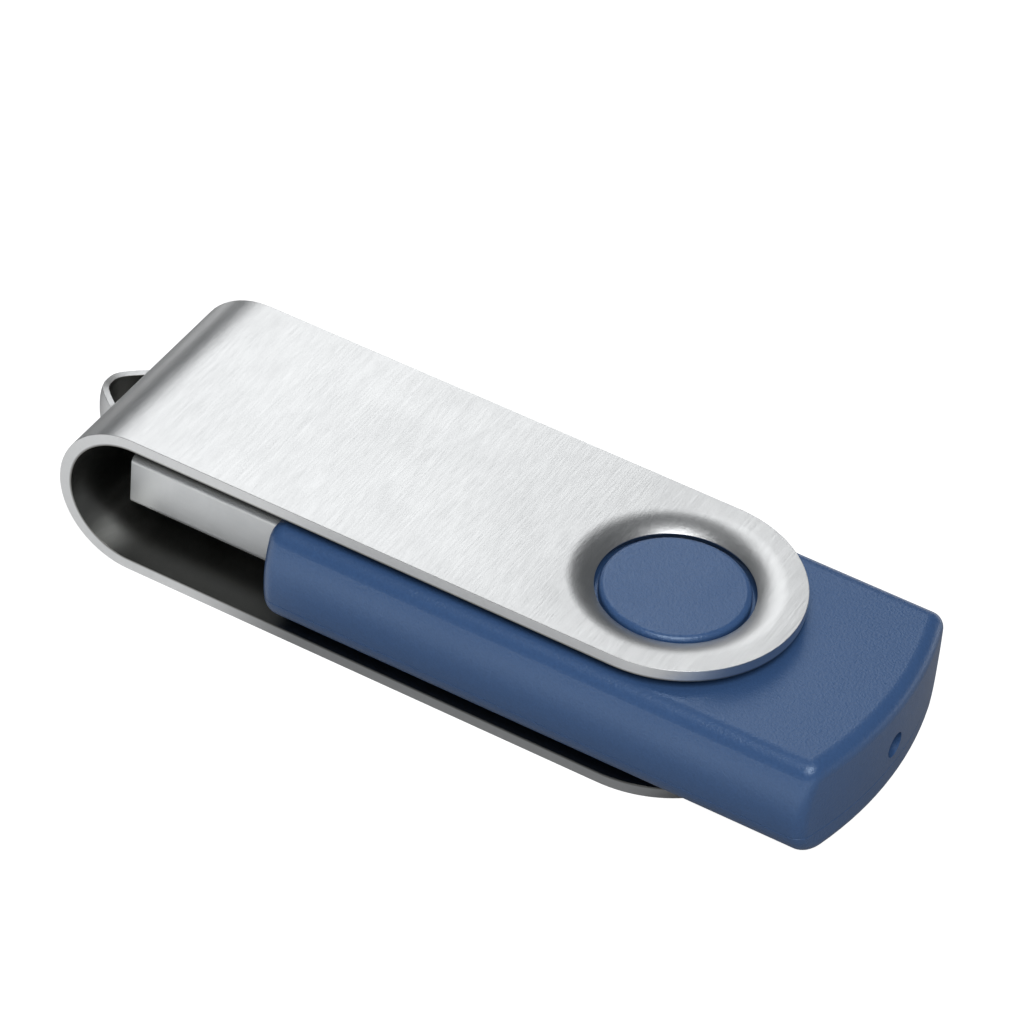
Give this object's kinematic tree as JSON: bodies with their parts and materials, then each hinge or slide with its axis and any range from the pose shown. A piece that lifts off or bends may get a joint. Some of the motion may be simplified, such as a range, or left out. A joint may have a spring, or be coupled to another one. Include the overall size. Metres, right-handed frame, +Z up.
{
  "type": "usb flash drive",
  "caption": "Pocket flash drive with a plastic casing and folded metal plug, turning on round bosses inside a bent satin metal strip with a lanyard loop.",
  "frame": {"origin": "on the resting plane, under the middle of the whole object's box with the cover closed", "axes": "+X from the plug towards the casing's rear end, +Z up along the pivot, out of the upper disc"},
  "size_m": [0.067, 0.0218, 0.0124],
  "materials": {
    "cover_metal": "satin, fine brushing along the strip",
    "shell_plastic": "matte moulded, fine even grain",
    "plug_metal": "satin bright tinned steel",
    "carrier_plastic": "smooth moulded",
    "contact_plating": "bright gold plating",
    "board_laminate": "solder mask over glass laminate",
    "chip_resin": "moulded resin",
    "tinned_lead": "tinned",
    "crystal_can": "plated lid",
    "lamp_lens": "clear resin",
    "capacitor_ceramic": "fired ceramic",
    "resistor_ceramic": "glazed ceramic"
  },
  "bodies": {
    "drive": {"capacitor_core": "capacitor_ceramic", "capacitor_filter": "capacitor_ceramic", "capacitor_input": "capacitor_ceramic", "capacitor_memory": "capacitor_ceramic", "circuit_board": "board_laminate", "contact_carrier": "carrier_plastic", "contact_data_minus": "contact_plating", "contact_data_plus": "contact_plating", "contact_ground": "contact_plating", "contact_power": "contact_plating", "controller_chip": "chip_resin", "controller_pads": "tinned_lead", "crystal": "crystal_can", "lower_shell": "shell_plastic", "memory_chip": "chip_resin", "memory_leads": "tinned_lead", "plug_shell": "plug_metal", "regulator": "chip_resin", "regulator_leads": "tinned_lead", "resistor_data_minus": "resistor_ceramic", "resistor_data_plus": "resistor_ceramic", "resistor_lamp": "resistor_ceramic", "resistor_pull_up": "resistor_ceramic", "status_lamp": "lamp_lens", "upper_shell": "shell_plastic"},
    "cover": {"swivel_cover": "cover_metal"}
  },
  "joints": [
    {"name": "cover_swivel", "type": "hinge", "parent": "drive", "child": "cover", "pos_m": [0.01507, 0, 0.0062], "axis": [0, 0, 1], "continuous": true}
  ]
}
